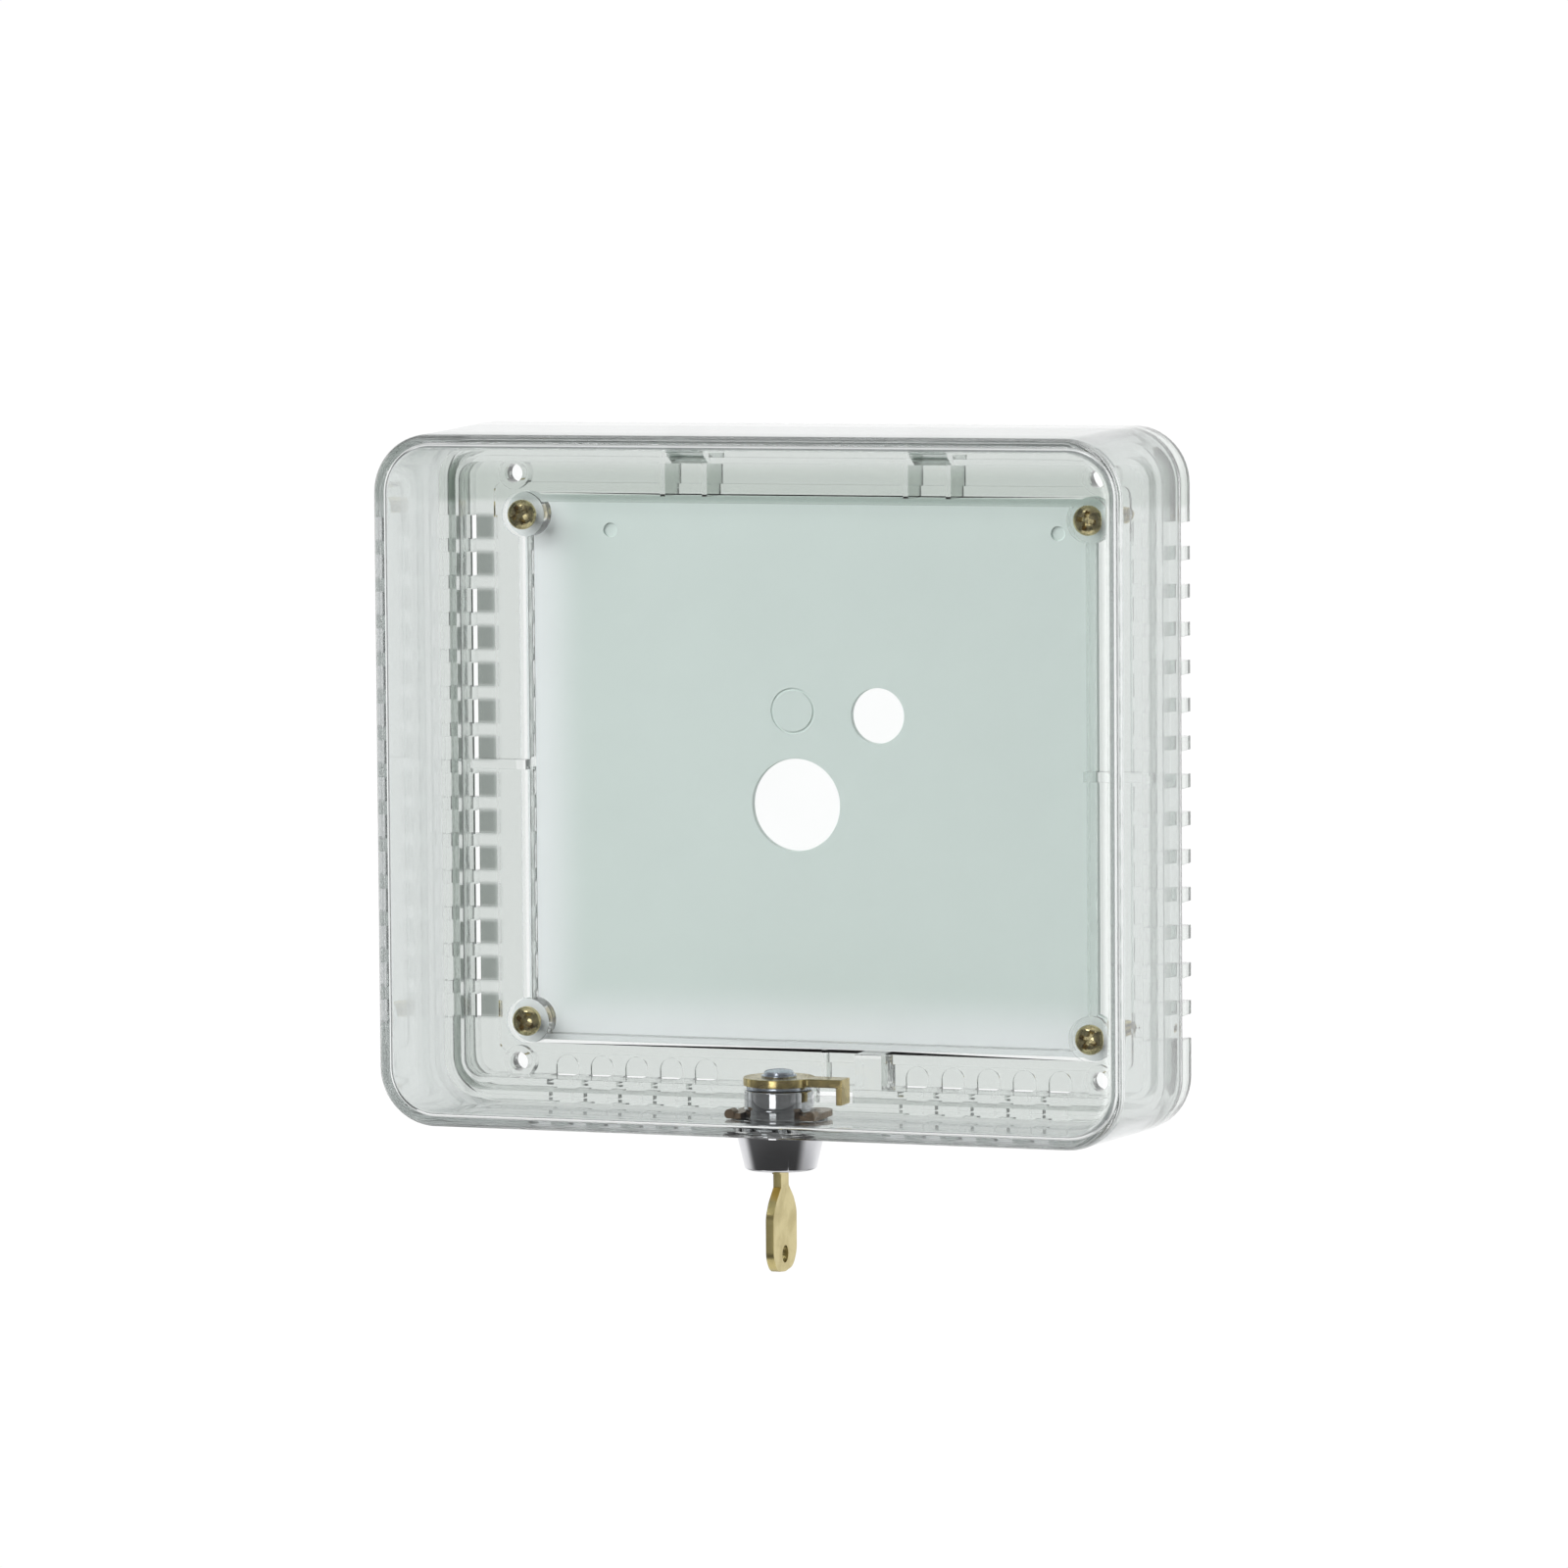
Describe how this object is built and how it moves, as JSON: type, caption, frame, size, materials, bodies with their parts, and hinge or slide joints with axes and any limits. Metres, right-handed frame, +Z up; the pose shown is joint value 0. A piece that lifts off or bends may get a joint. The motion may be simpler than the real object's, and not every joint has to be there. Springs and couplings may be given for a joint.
{
  "type": "lockable wall guard for a manual call point",
  "caption": "Clear vented box that locks over a wall-mounted call point or thermostat: hinged cover with cam lock and key, slotted ring base, opaque wallplate with wire holes.",
  "frame": {"origin": "middle of the wall side of the guard, on the wall plane", "axes": "+X to the viewer's right, +Y into the wall, +Z up; the front faces -Y"},
  "size_m": [0.1872, 0.075, 0.2002],
  "materials": {
    "clear_cover": "polished clear moulded plastic with a faint grey-green tint",
    "clear_base": "clear moulded plastic, polished faces and moulded edges",
    "opaque_plate": "opaque pale sage grey moulded plastic, satin",
    "screw_brass": "yellow-plated steel",
    "lock_chrome": "polished nickel-chrome plate",
    "lock_brass": "machined brass",
    "wafer_brass": "stamped brass",
    "lock_steel": "zinc-plated steel",
    "spring_steel": "spring wire",
    "clip_bronze": "dark bronzed spring steel",
    "key_brass": "stamped brass, tumbled"
  },
  "bodies": {
    "root": {"ring_base": "clear_base", "wallplate": "opaque_plate", "mounting_screws": "screw_brass"},
    "cover": {"cover_shell": "clear_cover", "lock_housing": "lock_chrome", "retaining_clip": "clip_bronze"},
    "lock_core": {"lock_plug": "lock_brass", "stop_washer": "lock_steel", "lock_cam": "lock_brass", "spring_washer": "lock_steel", "cam_screw": "lock_steel", "wafer_spring_1": "spring_steel", "wafer_spring_2": "spring_steel", "wafer_spring_3": "spring_steel", "wafer_spring_4": "spring_steel", "wafer_spring_5": "spring_steel"},
    "key": {"key": "key_brass"},
    "wafer_1": {"wafer_1": "wafer_brass"},
    "wafer_2": {"wafer_2": "wafer_brass"},
    "wafer_3": {"wafer_3": "wafer_brass"},
    "wafer_4": {"wafer_4": "wafer_brass"},
    "wafer_5": {"wafer_5": "wafer_brass"}
  },
  "joints": [
    {"name": "cover_swing", "type": "hinge", "parent": "root", "child": "cover", "pos_m": [0, -0.0065, 0.08335], "axis": [-1, 0, 0], "range_deg": [0, 40]},
    {"name": "lock_turn", "type": "hinge", "parent": "cover", "child": "lock_core", "pos_m": [0, -0.026, -0.08], "axis": [0, 0, 1], "range_deg": [0, 90]},
    {"name": "key_slide", "type": "slide", "parent": "lock_core", "child": "key", "axis": [0, 0, -1], "range_m": [0, 0.022]},
    {"name": "wafer_1_slide", "type": "slide", "parent": "lock_core", "child": "wafer_1", "axis": [0, 1, 0], "range_m": [0, 0.000714], "deforming": ["wafer_spring_1"]},
    {"name": "wafer_2_slide", "type": "slide", "parent": "lock_core", "child": "wafer_2", "axis": [0, 1, 0], "range_m": [0, 0.000714], "deforming": ["wafer_spring_2"]},
    {"name": "wafer_3_slide", "type": "slide", "parent": "lock_core", "child": "wafer_3", "axis": [0, 1, 0], "range_m": [0, 0.000714], "deforming": ["wafer_spring_3"]},
    {"name": "wafer_4_slide", "type": "slide", "parent": "lock_core", "child": "wafer_4", "axis": [0, 1, 0], "range_m": [0, 0.000714], "deforming": ["wafer_spring_4"]},
    {"name": "wafer_5_slide", "type": "slide", "parent": "lock_core", "child": "wafer_5", "axis": [0, 1, 0], "range_m": [0, 0.000714], "deforming": ["wafer_spring_5"]}
  ],
  "couplings": [
    {"joint": "wafer_1_slide", "follows": "key_slide", "ratio": 0.031818},
    {"joint": "wafer_2_slide", "follows": "key_slide", "ratio": 0.031818},
    {"joint": "wafer_3_slide", "follows": "key_slide", "ratio": 0.031818},
    {"joint": "wafer_4_slide", "follows": "key_slide", "ratio": 0.031818},
    {"joint": "wafer_5_slide", "follows": "key_slide", "ratio": 0.031818}
  ]
}
